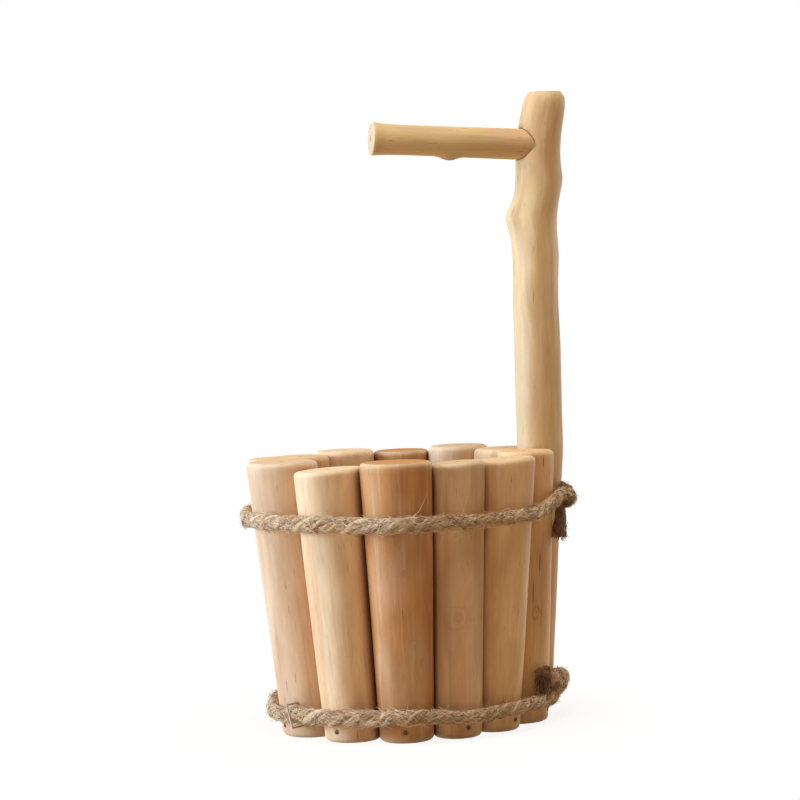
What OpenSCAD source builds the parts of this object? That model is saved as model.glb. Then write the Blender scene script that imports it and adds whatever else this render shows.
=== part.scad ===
// Log planter: a bucket of upright round staves, with one long post that carries a peg handle.
// Millimetres. The ground is z = 0 and the bucket's own axis is the Z axis. The front is -Y.

/* [Bucket] */
// Height of an average stave above the ground
bucket_h = 145; // [125:1:165]
// Thickness of an average stave at the rim
stave_rim_d = 33.4; // [29:0.2:37]
// Thickness of an average stave at the foot
stave_foot_d = 28.5; // [26:0.5:31]
// Gap left between neighbouring staves
stave_gap = 0.4; // [0.3:0.1:1]
// Chamfer round the cut ends of the staves and the post
end_chamfer = 1.2; // [0.6:0.1:2]
// Thickness of the round base board
board_t = 12; // [10:0.5:14]
// Gap between the base board and the feet of the staves
board_clearance = 0.3; // [0.2:0.1:0.6]

/* [Post] */
// Thickness of the post
post_d = 25.4; // [23:0.2:28]
// Height of the post above the ground
post_h = 340; // [320:1:360]
// How far the post's foot stands out past the ring of staves
post_out_foot = 11; // [8:0.5:12.5]
// How far the post stands out past the ring of staves at the rim
post_out_rim = 12.5; // [9:0.5:14]

/* [Handle] */
// Distance from the post's top down to the middle of the handle's socket
handle_drop = 29; // [25:0.5:45]
// Reach of the handle from the middle of the post to its free end
handle_reach = 93.5; // [80:0.5:110]
// Thickness of the handle where it enters the post
tenon_d = 16.8; // [14:0.2:17]
// Thickness of the handle at its free end
grip_d = 18.2; // [17:0.2:20]
// How far the socket runs past the middle of the post
socket_past = 2; // [1:0.5:5]
// Angle by which the handle rises from the post
handle_rise = 3.6; // [0:0.2:6]
// How far the handle's axis lies in front of the post's
handle_front = 2.2; // [0:0.2:2.4]

/* [Ropes] */
// Thickness of a rope, from the stave outwards
rope_t = 6; // [5:0.2:7]
// Height of a rope where it lies flat against the staves
rope_w = 8.6; // [7.4:0.2:10]
// Height of the upper rope above the ground
upper_rope_z = 116.5; // [105:0.5:122]
// Height of the lower rope above the ground
lower_rope_z = 14.5; // [14.5:0.5:24]
// Gap between a rope and the wood
rope_clearance = 0.3; // [0.2:0.05:0.5]

/* [Nails and staples] */
// Thickness of a nail
nail_d = 1.4; // [1.2:0.1:1.8]
// Thickness of a nail's head across
nail_head_d = 2.3; // [2.1:0.1:4]
// Length of the nails in the staves
nail_l = 40; // [36:1:46]
// Length of the nail in the post
post_nail_l = 50; // [46:1:60]
// Thickness of the staple wire
staple_wire = 1; // [0.8:0.1:1.2]
// Distance between the two legs of a staple
staple_span = 12.6; // [12:0.2:15]
// How deep the legs of a staple go into the stave
staple_grip = 6; // [4:0.5:9]
// How deep a staple presses into the rope
staple_pinch = 1.6; // [1:0.1:2]

/* [Hidden] */

$fn = 64;
SMALL_FN = 24;
BOARD_FN = 96;

// The places in the ring are numbered anticlockwise from the left, and one holds the post.
POST_INDEX = 6;
PLACES = 13;
// Each stave's thickness as a share of the average one
RIM_SHARE = [1.14, 1.095, 1.125, 0.87, 0.98, 0.92, 1, 1.02, 1, 0.95, 1.01, 0.98, 0.99];
FOOT_SHARE = [1.125, 1.04, 0.995, 0.9, 0.905, 1.09, 1, 1.02, 0.93, 0.88, 0.92, 0.91, 0.92];
// How much taller or shorter each stave is than the average one
EXTRA_H = [1.5, -1.6, 1.9, 0, -0.4, 1.4, 0, 0, 1, -1, 0.5, -0.5, 1];
// How far the level cut of each stave's top rises to the right
RIM_TILT = [0, 3, 0, 2.5, 3, 0, 0, 0, 0, 0, 0, 0, 0];
// The place that faces the front, and how far it is turned from there
FRONT_INDEX = 2;
FRONT_TURN = -3;

// Course of the post above the rim: share of the free height, shift outwards, share of its thickness
POST_COURSE = [
    [0.05, 0, 1], [0.14, 0, 1.01], [0.27, 0.4, 1], [0.4, 0.1, 0.985], [0.47, 0.7, 0.975],
    [0.55, 1.1, 1], [0.6, 0.7, 0.995], [0.63, 0.8, 0.985], [0.653, 1.1, 0.98], [0.676, 1.8, 0.98],
    [0.7, 2.7, 0.975], [0.73, 3.7, 0.975], [0.755, 4.1, 0.985], [0.78, 4.2, 0.97], [0.82, 4.3, 0.955],
    [0.87, 5.1, 0.955], [0.91, 6.5, 0.95], [0.945, 8, 0.945], [0.965, 8.7, 0.915], [0.982, 9.2, 0.845],
    [0.993, 9.3, 0.755], [1, 9.3, 0.59]
];
// Knots on the post: height as a share of the free height, angle, how far they stand out, radius
POST_KNOTS = [[0.653, 192, 4.7, 6], [0.755, 5, 1.4, 5], [0.47, 250, 0.7, 7], [0.53, 20, 0.6, 6]];
POST_SIDES = 24;
// Heights of the rings below the rim, as shares of the bucket's height
POST_LOW_SHARES = [0.12, 0.25, 0.4, 0.55, 0.7, 0.85, 1];

// The knot on the handle: distance from the post's middle, how far it stands out, its radius
HANDLE_KNOT = [51, 2, 6.2];
HANDLE_KNOT_STRETCH = 1.6;
// The handle's waist as a share of its tenon, the length of the flare at its free end, and how
// far the waist lies back from that end
WAIST_SHARE = 0.965;
FLARE_L = 7;
WAIST_BACK = 18;
GRIP_CHAMFER = 0.8;
// How far the handle keeps its tenon's thickness past the post
SHOULDER_OUT = 1;

// Clearance between the two strands of a knot, and their thickness as a share of the rope's
KNOT_CLEARANCE = 0.8;
KNOT_SHARE = 0.88;
// How far the middle of a knot stands out from the straight run of rope, and rises in the lower one
KNOT_LIFT = 1.4;
LOWER_KNOT_RISE = 3;
ROPE_SIDES = 10;
// Free tails of a knot, in rope thicknesses: along the knot, outwards, upwards or downwards, size
TAIL_UP = [[1, -0.24, 0.26, 1], [1.27, -0.08, 0.58, 1.15], [1.46, 0.14, 1.05, 1.4]];
TAIL_HANGING = [
    [1, -0.24, 0.26, 1], [1.27, -0.12, 0.58, 1], [1.5, 0, 0.98, 1], [1.64, 0, 1.5, 1.1],
    [1.68, -0.03, 2.1, 1.2], [1.68, -0.08, 2.75, 1.35], [1.66, -0.14, 3.4, 1.45]
];
TAIL_STANDING = [
    [1, -0.24, 0.26, 1], [1.67, 0, 0.7, 1], [2.66, 0.14, 1, 1], [3.39, 0.03, 1, 1.05],
    [4.04, -0.23, 1.04, 1.1], [4.55, -0.52, 1.21, 1.2], [4.88, -0.7, 1.58, 1.35], [5.03, -0.76, 1.95, 1.45]
];
TAIL_TUCKED = [[0.95, -0.3, 0.3, 1], [1.1, -0.3, 0.6, 1], [1.2, -0.25, 0.95, 1.05]];
// Shares of the knot's length at which its two strands have a ring
KNOT_STEPS = [0, 0.08, 0.15, 0.21, 0.27, 0.33, 0.39, 0.45, 0.51, 0.57, 0.63, 0.68];

// Staples: the place of the stave, and how far past its bend the rope is stapled, or 0 for the
// middle of the bend, where the staple presses it in
UPPER_STAPLED = [[8, 0], [11, 0]];
LOWER_STAPLED = [[0, 8], [8, 0], [11, 0]];
STAPLE_SLANT = 18;
STAPLE_SEAT = 0.2;

// How far each rope sags on the upright in each place
UPPER_SAG = [0, 0.2, 1.1, 1.8, 1.2, 0, 0, 0, 0, 0, 0, 0, 0];
LOWER_SAG = [1.4, 0.6, 0, 2.4, 1.5, 0, 0, 0, 0, 0, 0, 0, 0.6];

// A rope: its height, 1 where its front strand starts above in the knot or -1 below, the rise of
// the knot's middle, its lifts before and after the knot as shares of the two strands' distance,
// its front and back tails, its staples and its sag
UPPER = [
    upper_rope_z, 1, 0, [0.5, 0.75], [0, 0],
    TAIL_HANGING, TAIL_UP, UPPER_STAPLED, UPPER_SAG
];
LOWER = [
    lower_rope_z, -1, LOWER_KNOT_RISE, [-0.25, -0.25], [0.75, 0.5],
    TAIL_STANDING, TAIL_TUCKED, LOWER_STAPLED, LOWER_SAG
];

NAIL_HEAD_T = 0.6;
// Search for the radius of the free circle inside the uprights
SOLVER_STEPS = 40;
SMALLEST_INNER = 5;
LARGEST_INNER = 200;

// Ring of uprights

function mix(a, b, t) = a + (b - a) * t;
function radius_foot(k) = k == POST_INDEX ? post_d / 2 : FOOT_SHARE[k] * stave_foot_d / 2;
function radius_rim(k) = k == POST_INDEX ? post_d / 2 : RIM_SHARE[k] * stave_rim_d / 2;
function out_foot(k) = k == POST_INDEX ? post_out_foot : 0;
function out_rim(k) = k == POST_INDEX ? post_out_rim : 0;
FOOT_R = [for (k = [0:PLACES - 1]) radius_foot(k)];
RIM_R = [for (k = [0:PLACES - 1]) radius_rim(k)];
FOOT_OUT = [for (k = [0:PLACES - 1]) out_foot(k)];
RIM_OUT = [for (k = [0:PLACES - 1]) out_rim(k)];

// Angle at the bucket's axis between two neighbours that stand a gap apart
function angle_between(ca, cb, apart) =
    acos(min(1, max(-1, (ca * ca + cb * cb - apart * apart) / (2 * ca * cb))));
function step_angle(inner, r, out, a, b) =
    angle_between(inner + r[a] + out[a], inner + r[b] + out[b], r[a] + r[b] + stave_gap);
function turn_to(inner, r, out, k) =
    k == 0 ? 0 : turn_to(inner, r, out, k - 1) + step_angle(inner, r, out, k - 1, k);
function whole_turn(inner, r, out) =
    turn_to(inner, r, out, PLACES - 1) + step_angle(inner, r, out, PLACES - 1, 0);
// Radius of the free circle inside the uprights, at which the ring just closes
function closing_radius(r, out, low, high, steps) =
    let (middle = (low + high) / 2)
    steps == 0 ? middle
    : whole_turn(middle, r, out) > 360 ? closing_radius(r, out, middle, high, steps - 1)
    : closing_radius(r, out, low, middle, steps - 1);
INNER_FOOT = closing_radius(FOOT_R, FOOT_OUT, SMALLEST_INNER, LARGEST_INNER, SOLVER_STEPS);
INNER_RIM = closing_radius(RIM_R, RIM_OUT, SMALLEST_INNER, LARGEST_INNER, SOLVER_STEPS);

function place_at(inner, r, out, k) =
    let (
        turn = FRONT_TURN + turn_to(inner, r, out, k) - turn_to(inner, r, out, FRONT_INDEX),
        far = inner + r[k] + out[k]
    )
    [far * sin(turn), -far * cos(turn)];
FOOT_C = [for (k = [0:PLACES - 1]) place_at(INNER_FOOT, FOOT_R, FOOT_OUT, k)];
RIM_C = [for (k = [0:PLACES - 1]) place_at(INNER_RIM, RIM_R, RIM_OUT, k)];

// Middle and radius of the upright in place k at height z
function centre_at(k, z) = mix(FOOT_C[k], RIM_C[k], z / bucket_h);
function radius_at(k, z) = mix(FOOT_R[k], RIM_R[k], z / bucket_h);
function unit(v) = v / norm(v);
function bearing(v) = atan2(v[1], v[0]);

// Staves, board and nails

NAIL_Z = board_t / 2;
NAIL_DEPTH_IN = 0.3;
CUT = 1;
// How far a log is drawn past its level cuts, and the cones that cut it past the log
LOG_OVER = 12;
TRIM_OVER = 40;

// A nail driven square to the bucket's axis, with its head let into the upright in place k
module nail(k, length) {
    middle = centre_at(k, NAIL_Z);
    head_at = norm(middle) + radius_at(k, NAIL_Z) - NAIL_DEPTH_IN;
    rotate([0, 0, bearing(middle)]) translate([head_at, 0, NAIL_Z]) rotate([0, -90, 0]) {
        cylinder(d = nail_d, h = length, $fn = SMALL_FN);
        translate([0, 0, -NAIL_HEAD_T / 2]) cylinder(d = nail_head_d, h = NAIL_HEAD_T, $fn = SMALL_FN);
    }
}

// The room that a nail's head and shank take up, open to the outside
module nail_room(k, length) {
    middle = centre_at(k, NAIL_Z);
    head_at = norm(middle) + radius_at(k, NAIL_Z) - NAIL_DEPTH_IN;
    rotate([0, 0, bearing(middle)]) translate([head_at, 0, NAIL_Z]) rotate([0, -90, 0]) {
        cylinder(d = nail_d, h = length, $fn = SMALL_FN);
        translate([0, 0, -NAIL_HEAD_T / 2 - CUT]) {
            cylinder(d = nail_head_d, h = NAIL_HEAD_T + CUT, $fn = SMALL_FN);
        }
    }
}

function nail_length(k) = k == POST_INDEX ? post_nail_l : nail_l;

// A tapered round log that leans from its foot to its place in the rim
module leaning_log(k) {
    foot = [FOOT_C[k][0], FOOT_C[k][1], 0];
    lean = [RIM_C[k][0], RIM_C[k][1], bucket_h] - foot;
    length = norm(lean);
    widen = (RIM_R[k] - FOOT_R[k]) / length;
    translate(foot) rotate([0, acos(lean[2] / length), bearing(lean)]) translate([0, 0, -LOG_OVER]) {
        cylinder(
            r1 = FOOT_R[k] - widen * LOG_OVER,
            r2 = RIM_R[k] + widen * LOG_OVER,
            h = length + 2 * LOG_OVER
        );
    }
}

// Level cuts at both ends with a chamfer round each
module foot_trim(k) {
    reach = bucket_h + TRIM_OVER;
    start = FOOT_R[k] - end_chamfer;
    translate([FOOT_C[k][0], FOOT_C[k][1], 0]) {
        cylinder(r1 = start, r2 = start + reach, h = reach);
    }
}

module rim_trim(k) {
    reach = bucket_h + TRIM_OVER;
    top = bucket_h + EXTRA_H[k];
    end = RIM_R[k] - end_chamfer;
    translate([RIM_C[k][0], RIM_C[k][1], top]) rotate([0, -RIM_TILT[k], 0]) {
        translate([0, 0, -reach]) cylinder(r1 = end + reach, r2 = end, h = reach);
    }
}

module stave(k) {
    color("burlywood") difference() {
        intersection() {
            leaning_log(k);
            foot_trim(k);
            rim_trim(k);
        }
        nail_room(k, nail_length(k));
        for (s = UPPER_STAPLED) {
            if (s[0] == k) staple(UPPER, s);
        }
        for (s = LOWER_STAPLED) {
            if (s[0] == k) staple(LOWER, s);
        }
    }
}

module base_board() {
    color("wheat") difference() {
        cylinder(r = INNER_FOOT - board_clearance, h = board_t, $fn = BOARD_FN);
        for (k = [0:PLACES - 1]) nail_room(k, nail_length(k));
    }
}

module stave_nails() {
    color("dimgray") for (k = [0:PLACES - 1]) nail(k, nail_length(k));
}

// Post and handle

POST_FREE = post_h - bucket_h;
HANDLE_Z = post_h - handle_drop;

// Rings of the post as [height, distance from the bucket's axis along the post's side, radius]
POST_RINGS = concat(
    [[0, norm(FOOT_C[POST_INDEX]), post_d / 2 - end_chamfer]],
    [for (s = concat([end_chamfer / bucket_h], POST_LOW_SHARES))
        [s * bucket_h, norm(centre_at(POST_INDEX, s * bucket_h)), post_d / 2]],
    [for (c = POST_COURSE)
        [bucket_h + c[0] * POST_FREE, norm(RIM_C[POST_INDEX]) + c[1], c[2] * post_d / 2]]
);
function post_row(z, k) = k >= len(POST_RINGS) - 2 || POST_RINGS[k + 1][0] >= z ? k : post_row(z, k + 1);
// Distance of the post's middle from the bucket's axis at height z
function post_far(z) =
    let (
        k = post_row(z, 0),
        t = (z - POST_RINGS[k][0]) / (POST_RINGS[k + 1][0] - POST_RINGS[k][0])
    )
    mix(POST_RINGS[k][1], POST_RINGS[k + 1][1], t);
function post_turn(z) =
    z > bucket_h ? bearing(RIM_C[POST_INDEX]) : bearing(centre_at(POST_INDEX, z));

// How far the knots lift the bark line at height z and angle a
function knot_lift(z, a, knot) =
    let (
        rise = z - bucket_h - knot[0] * POST_FREE,
        round_way = (post_d / 2) * (((a - knot[1] + 540) % 360) - 180) * PI / 180
    )
    knot[2] * exp(-(rise * rise + round_way * round_way) / (knot[3] * knot[3]));
function all_lift(z, a, k = 0) =
    k == len(POST_KNOTS) ? 0 : knot_lift(z, a, POST_KNOTS[k]) + all_lift(z, a, k + 1);

module post_body() {
    rows = len(POST_RINGS);
    points = [
        for (ring = POST_RINGS, s = [0:POST_SIDES - 1])
        let (
            a = s * 360 / POST_SIDES,
            turn = post_turn(ring[0]),
            r = ring[2] + (ring[0] > bucket_h ? all_lift(ring[0], a, 0) : 0),
            middle = [ring[1] * cos(turn), ring[1] * sin(turn)]
        )
        [middle[0] + r * cos(a), middle[1] + r * sin(a), ring[0]]
    ];
    sides = [
        for (row = [0:rows - 2], s = [0:POST_SIDES - 1])
        let (
            a = row * POST_SIDES + s,
            b = row * POST_SIDES + (s + 1) % POST_SIDES
        )
        each [[a, b + POST_SIDES, b], [a, a + POST_SIDES, b + POST_SIDES]]
    ];
    foot = [for (s = [0:POST_SIDES - 1]) s];
    top = [for (s = [0:POST_SIDES - 1]) rows * POST_SIDES - 1 - s];
    polyhedron(points = points, faces = concat([foot], sides, [top]), convexity = 6);
}

// Frame of the handle: its origin is where its axis meets the post's, and it runs along +Z
module along_handle() {
    far = post_far(HANDLE_Z);
    turn = post_turn(HANDLE_Z);
    translate([far * cos(turn), far * sin(turn), HANDLE_Z]) rotate([0, 0, turn]) {
        translate([0, -handle_front, 0]) rotate([0, -90 + handle_rise, 0]) children();
    }
}

module post() {
    color("tan") difference() {
        post_body();
        along_handle() translate([0, 0, -socket_past]) {
            cylinder(d = tenon_d, h = socket_past + post_d);
        }
        nail_room(POST_INDEX, nail_length(POST_INDEX));
    }
}

module handle() {
    color("goldenrod") along_handle() {
        rotate_extrude() polygon([
            [0, -socket_past],
            [tenon_d / 2, -socket_past],
            [tenon_d / 2, SHOULDER],
            [WAIST_SHARE * tenon_d / 2, WAIST],
            [tenon_d / 2, handle_reach - FLARE_L],
            [grip_d / 2, handle_reach - GRIP_CHAMFER],
            [grip_d / 2 - GRIP_CHAMFER, handle_reach],
            [0, handle_reach]
        ]);
        translate([-(handle_radius(HANDLE_KNOT[0]) + HANDLE_KNOT[1] - HANDLE_KNOT[2]), 0, HANDLE_KNOT[0]]) {
            scale([1, 1, HANDLE_KNOT_STRETCH]) sphere(r = HANDLE_KNOT[2]);
        }
    }
}

SHOULDER = post_d / 2 + SHOULDER_OUT;
WAIST = handle_reach - WAIST_BACK;
function handle_radius(far) = mix(1, WAIST_SHARE, (far - SHOULDER) / (WAIST - SHOULDER)) * tenon_d / 2;

// Ropes

// Distance of the rope's middle from the middle of the upright in place k
function seat_at(k, z) = radius_at(k, z) + rope_clearance + rope_t / 2;
// Outward angle of the straight run of rope from place a to place b
function run_angle(a, b, z) =
    let (
        step = centre_at(b, z) - centre_at(a, z),
        swing = asin((seat_at(a, z) - seat_at(b, z)) / norm(step))
    )
    bearing(step) - 90 + swing;
function next_place(k) = (k + 1) % PLACES;
function last_place(k) = (k + PLACES - 1) % PLACES;
function turned(a, from) = from + ((a - from + 540) % 360) - 180;
// Point of the rope's middle line on the upright in place k, t of the way round its bend
function bend_point(k, z, t) =
    let (
        start = run_angle(last_place(k), k, z),
        end = turned(run_angle(k, next_place(k), z), start),
        a = mix(start, end, t),
        c = centre_at(k, z)
    )
    [c[0] + seat_at(k, z) * cos(a), c[1] + seat_at(k, z) * sin(a)];

// The knot lies on the straight run between the last stave in front and the post
KNOT_FROM = last_place(POST_INDEX);
STRAND_APART = KNOT_SHARE * rope_t + KNOT_CLEARANCE;
function knot_start(z) = bend_point(KNOT_FROM, z, 1);
function knot_end(z) = bend_point(POST_INDEX, z, 0);
function knot_half(z) = norm(knot_end(z) - knot_start(z)) / 2;
function ease(t) = t * t * (3 - 2 * t);
// A place in the knot's frame: s along it from its middle, n outwards and b upwards, or downwards
// in a rope whose front strand starts below
function knot_point(rope, s, n, b) =
    let (
        z = rope[0],
        middle = (knot_start(z) + knot_end(z)) / 2,
        along = unit(knot_end(z) - knot_start(z)),
        p = middle + along * s + [along[1], -along[0]] * n,
        rise = rope[2] * cos(90 * min(1, abs(s) / knot_half(z)))
    )
    [p[0], p[1], z + STRAND_APART / 2 + rope[1] * b + rise];
// Strand 1 comes from the front and ends in the back tail, strand -1 comes round the post
function strand_point(rope, share, strand) =
    let (
        turn = 360 * ease(share),
        along = (2 * share - 1) * knot_half(rope[0]),
        r = strand * STRAND_APART / 2
    )
    knot_point(rope, along, r * sin(turn) + KNOT_LIFT * sin(180 * share), r * cos(turn));

// A rope's rings as [middle, half thickness, half height], round in the knot, flat on the staves
function flat_ring(p, z, share) = [
    [p[0], p[1], z],
    rope_t * mix(KNOT_SHARE, 1, share) / 2,
    mix(KNOT_SHARE * rope_t, rope_w, share) / 2
];
function round_ring(p, size) = [p, size * KNOT_SHARE * rope_t / 2, size * KNOT_SHARE * rope_t / 2];
function tail(rope, places, side) = [
    for (p = places)
    round_ring(knot_point(rope, side * p[0] * rope_t, p[1] * rope_t, side * p[2] * rope_t), p[3])
];
function reversed(list) = [for (k = [len(list) - 1:-1:0]) list[k]];
// How deep a staple presses into the rope at a ring, t of the way round the upright in place k
function pinch_at(rope, k, t) =
    t == 0.5 && len([for (s = rope[7]) if (s[0] == k && s[1] == 0) s]) > 0 ? staple_pinch : 0;
function wrap_ring(rope, k, t) =
    let (
        pinch = pinch_at(rope, k, t),
        p = bend_point(k, rope[0], t),
        q = p - unit(p - centre_at(k, rope[0])) * pinch / 2
    )
    [[q[0], q[1], rope[0] - rope[8][k]], (rope_t - pinch) / 2, rope_w / 2];

function rope_rings(rope) =
    let (z = rope[0], before = rope[3] * STRAND_APART, after = rope[4] * STRAND_APART)
    concat(
        reversed(tail(rope, rope[5], -1)),
        [for (s = reversed(KNOT_STEPS)) round_ring(strand_point(rope, 1 - s, -1), 1)],
        [flat_ring(bend_point(POST_INDEX, z, 0.5), z + after[0], 0.5)],
        [flat_ring(bend_point(POST_INDEX, z, 1), z + after[1], 1)],
        [for (k = [POST_INDEX + 1:PLACES + KNOT_FROM - 1], t = [0, 0.5, 1]) wrap_ring(rope, k % PLACES, t)],
        [flat_ring(bend_point(KNOT_FROM, z, 0), z + before[0], 0.6)],
        [flat_ring(bend_point(KNOT_FROM, z, 0.5), z + before[1], 0.3)],
        [for (s = KNOT_STEPS) round_ring(strand_point(rope, s, 1), 1)],
        tail(rope, rope[6], 1)
    );

// Least distance between two parts of one rope that are further apart along it than a bend
function least_gap(rings) = min([
    for (i = [0:len(rings) - 1], j = [i + 5:1:len(rings) - 1])
    norm(rings[i][0] - rings[j][0]) - rings[i][1] - rings[j][1]
]);

function cross3(a, b) = [
    a[1] * b[2] - a[2] * b[1],
    a[2] * b[0] - a[0] * b[2],
    a[0] * b[1] - a[1] * b[0]
];
function ring_way(rings, k) =
    let (
        before = rings[max(0, k - 1)][0],
        after = rings[min(len(rings) - 1, k + 1)][0]
    )
    unit(after - before);
// Sideways direction of a ring: outwards from the bucket, square to the rope
function ring_side(rings, k) =
    let (
        way = ring_way(rings, k),
        p = rings[k][0],
        out = unit([p[0], p[1], 0])
    )
    unit(out - way * (out * way));

module rope(rings) {
    rows = len(rings);
    points = [
        for (k = [0:rows - 1], s = [0:ROPE_SIDES - 1])
        let (
            side = ring_side(rings, k),
            up = cross3(side, ring_way(rings, k)),
            a = (s + 0.5) * 360 / ROPE_SIDES
        )
        rings[k][0] + side * (cos(a) * rings[k][1]) + up * (sin(a) * rings[k][2])
    ];
    walls = [
        for (k = [0:rows - 2], s = [0:ROPE_SIDES - 1])
        let (
            a = k * ROPE_SIDES + s,
            b = k * ROPE_SIDES + (s + 1) % ROPE_SIDES
        )
        each [[a, b, b + ROPE_SIDES], [a, b + ROPE_SIDES, a + ROPE_SIDES]]
    ];
    start = [for (s = [0:ROPE_SIDES - 1]) ROPE_SIDES - 1 - s];
    end = [for (s = [0:ROPE_SIDES - 1]) (rows - 1) * ROPE_SIDES + s];
    polyhedron(points = points, faces = concat([start], walls, [end]), convexity = 8);
}

UPPER_RINGS = rope_rings(UPPER);
LOWER_RINGS = rope_rings(LOWER);
echo("upper rope, least gap to itself", least_gap(UPPER_RINGS));
echo("lower rope, least gap to itself", least_gap(LOWER_RINGS));

module upper_rope() {
    color("peru") rope(UPPER_RINGS);
}

module lower_rope() {
    color("peru") rope(LOWER_RINGS);
}

// A wire staple over a rope, driven into the stave in its place
module staple(rope, at) {
    k = at[0];
    z = rope[0];
    c = centre_at(k, z);
    r = radius_at(k, z);
    start = run_angle(last_place(k), k, z);
    way = mix(start, turned(run_angle(k, next_place(k), z), start), at[1] > 0 ? 1 : 0.5);
    pinch = at[1] > 0 ? 0 : staple_pinch;
    crown = r + rope_clearance + rope_t - pinch + STAPLE_SEAT + staple_wire / 2;
    leg = crown - sqrt(r * r - at[1] * at[1]) + staple_grip;
    translate([c[0], c[1], z - rope[8][k]]) rotate([0, 0, way]) translate([crown, at[1], 0]) {
        rotate([STAPLE_SLANT, 0, 0]) {
            translate([0, 0, -staple_span / 2]) {
                cylinder(d = staple_wire, h = staple_span, $fn = SMALL_FN);
            }
            for (side = [-1, 1]) translate([0, 0, side * staple_span / 2]) {
                sphere(d = staple_wire, $fn = SMALL_FN);
                rotate([0, -90, 0]) cylinder(d = staple_wire, h = leg, $fn = SMALL_FN);
            }
        }
    }
}

module upper_rope_staples() {
    color("silver") for (s = UPPER_STAPLED) staple(UPPER, s);
}

module lower_rope_staples() {
    color("silver") for (s = LOWER_STAPLED) staple(LOWER, s);
}

stave(0);  // stave_01
stave(1);  // stave_02
stave(2);  // stave_03
stave(3);  // stave_04
stave(4);  // stave_05
stave(5);  // stave_06
stave(7);  // stave_07
stave(8);  // stave_08
stave(9);  // stave_09
stave(10);  // stave_10
stave(11);  // stave_11
stave(12);  // stave_12
post();
handle();
base_board();
stave_nails();
upper_rope();
lower_rope();
upper_rope_staples();
lower_rope_staples();
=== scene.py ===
"""Log planter: debarked staves, a long post with a peg handle, and two laid jute ropes."""

import math
import random
from contextlib import contextmanager
from dataclasses import dataclass

import bmesh
import bpy
import numpy as np
from mathutils import Euler, Matrix, Vector
from mathutils.bvhtree import BVHTree


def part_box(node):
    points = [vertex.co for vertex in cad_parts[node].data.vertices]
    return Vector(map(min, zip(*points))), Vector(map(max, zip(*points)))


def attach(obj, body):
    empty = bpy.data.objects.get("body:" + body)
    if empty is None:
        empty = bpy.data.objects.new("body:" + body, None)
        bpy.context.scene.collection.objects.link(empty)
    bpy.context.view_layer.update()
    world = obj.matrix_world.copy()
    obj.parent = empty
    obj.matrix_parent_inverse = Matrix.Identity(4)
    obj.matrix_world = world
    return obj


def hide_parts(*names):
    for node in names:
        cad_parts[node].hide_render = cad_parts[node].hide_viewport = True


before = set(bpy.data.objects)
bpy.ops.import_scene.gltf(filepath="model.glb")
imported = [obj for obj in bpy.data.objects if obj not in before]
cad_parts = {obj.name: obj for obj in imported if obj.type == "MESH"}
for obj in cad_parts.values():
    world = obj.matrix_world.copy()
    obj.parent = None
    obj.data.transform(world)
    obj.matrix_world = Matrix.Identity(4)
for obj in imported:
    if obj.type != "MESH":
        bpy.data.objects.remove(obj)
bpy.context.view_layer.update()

MM = 0.001

# Camera and studio

PHOTO_PIXELS = 800
SENSOR_WIDTH = 36
FOCAL_PIXELS = 2667.96
CAMERA_PLACE = (-0.158 * MM, -1445.19 * MM, 241.89 * MM)
CAMERA_PITCH = math.radians(2.633)
CAMERA_ROLL = math.radians(-2.128)
CLOSEST, FURTHEST = 0.01, 50

LAMP_AIM = Vector((0, 0, 0.15))
# Name, place, side, power and tint of each soft lamp
LAMPS = [
    ("key", (-1.55, -0.27, 0.45), 0.8, 38, (0.58, 0.77, 1.0)),
    ("above", (0, -0.42, 1.5), 0.7, 16, (0.84, 0.86, 0.84)),
    ("rim", (1.2, 0.9, 0.35), 0.6, 6, (0.85, 0.9, 0.9)),
]
WORLD_LEVEL = 0.19
WORLD_TINT = (1, 0.62, 0.28, 1)
WHITE = (1, 1, 1, 1)

FLOOR_SIZE = 12
FLOOR_PAPER = (0.60, 0.46, 0.31, 1)
FLOOR_LIFT = 0.62
# The floor shows its shadow near the object, already this far faded, and is white beyond
SHADOW_NEAR, SHADOW_FAR = 0.08, 0.14
SHADOW_FADED = 0.7


def add_object(name, data):
    made = bpy.data.objects.new(name, data)
    bpy.context.collection.objects.link(made)
    return made


def place_camera():
    data = bpy.data.cameras.new("camera")
    data.sensor_width = SENSOR_WIDTH
    data.lens = FOCAL_PIXELS * SENSOR_WIDTH / PHOTO_PIXELS
    data.clip_start, data.clip_end = CLOSEST, FURTHEST
    camera = add_object("camera", data)
    turn = Euler((math.pi / 2 - CAMERA_PITCH, 0, 0)).to_matrix() @ Matrix.Rotation(CAMERA_ROLL, 3, "Z")
    camera.matrix_world = Matrix.Translation(CAMERA_PLACE) @ turn.to_4x4()
    bpy.context.scene.camera = camera


def hang_lamp(name, place, side, power, tint):
    data = bpy.data.lights.new(name, "AREA")
    data.shape = "RECTANGLE"
    data.size = data.size_y = side
    data.energy = power
    data.color = tint
    lamp = add_object(name, data)
    lamp.location = place
    lamp.rotation_euler = (LAMP_AIM - Vector(place)).to_track_quat("-Z", "Y").to_euler()


def light_the_world():
    """Even light from all round, a little warm, seen as plain white."""
    world = bpy.data.worlds.new("studio")
    bpy.context.scene.world = world
    world.use_nodes = True
    bench = NodeBench(world.node_tree)
    seen = bench.seen_directly()
    background = world.node_tree.nodes["Background"].inputs
    bench.feed(background["Color"], bench.blend(seen, WORLD_TINT, WHITE))
    bench.feed(background["Strength"], bench.node("MapRange", None, {0: seen, 3: WORLD_LEVEL, 4: 1.0}))


def make_floor():
    bpy.ops.object.select_all(action="DESELECT")
    bpy.ops.mesh.primitive_plane_add(size=FLOOR_SIZE, location=(0, 0, 0))
    floor = bpy.context.object
    floor.name = "floor"
    floor.data.materials.append(pale_floor())


# Materials

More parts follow.
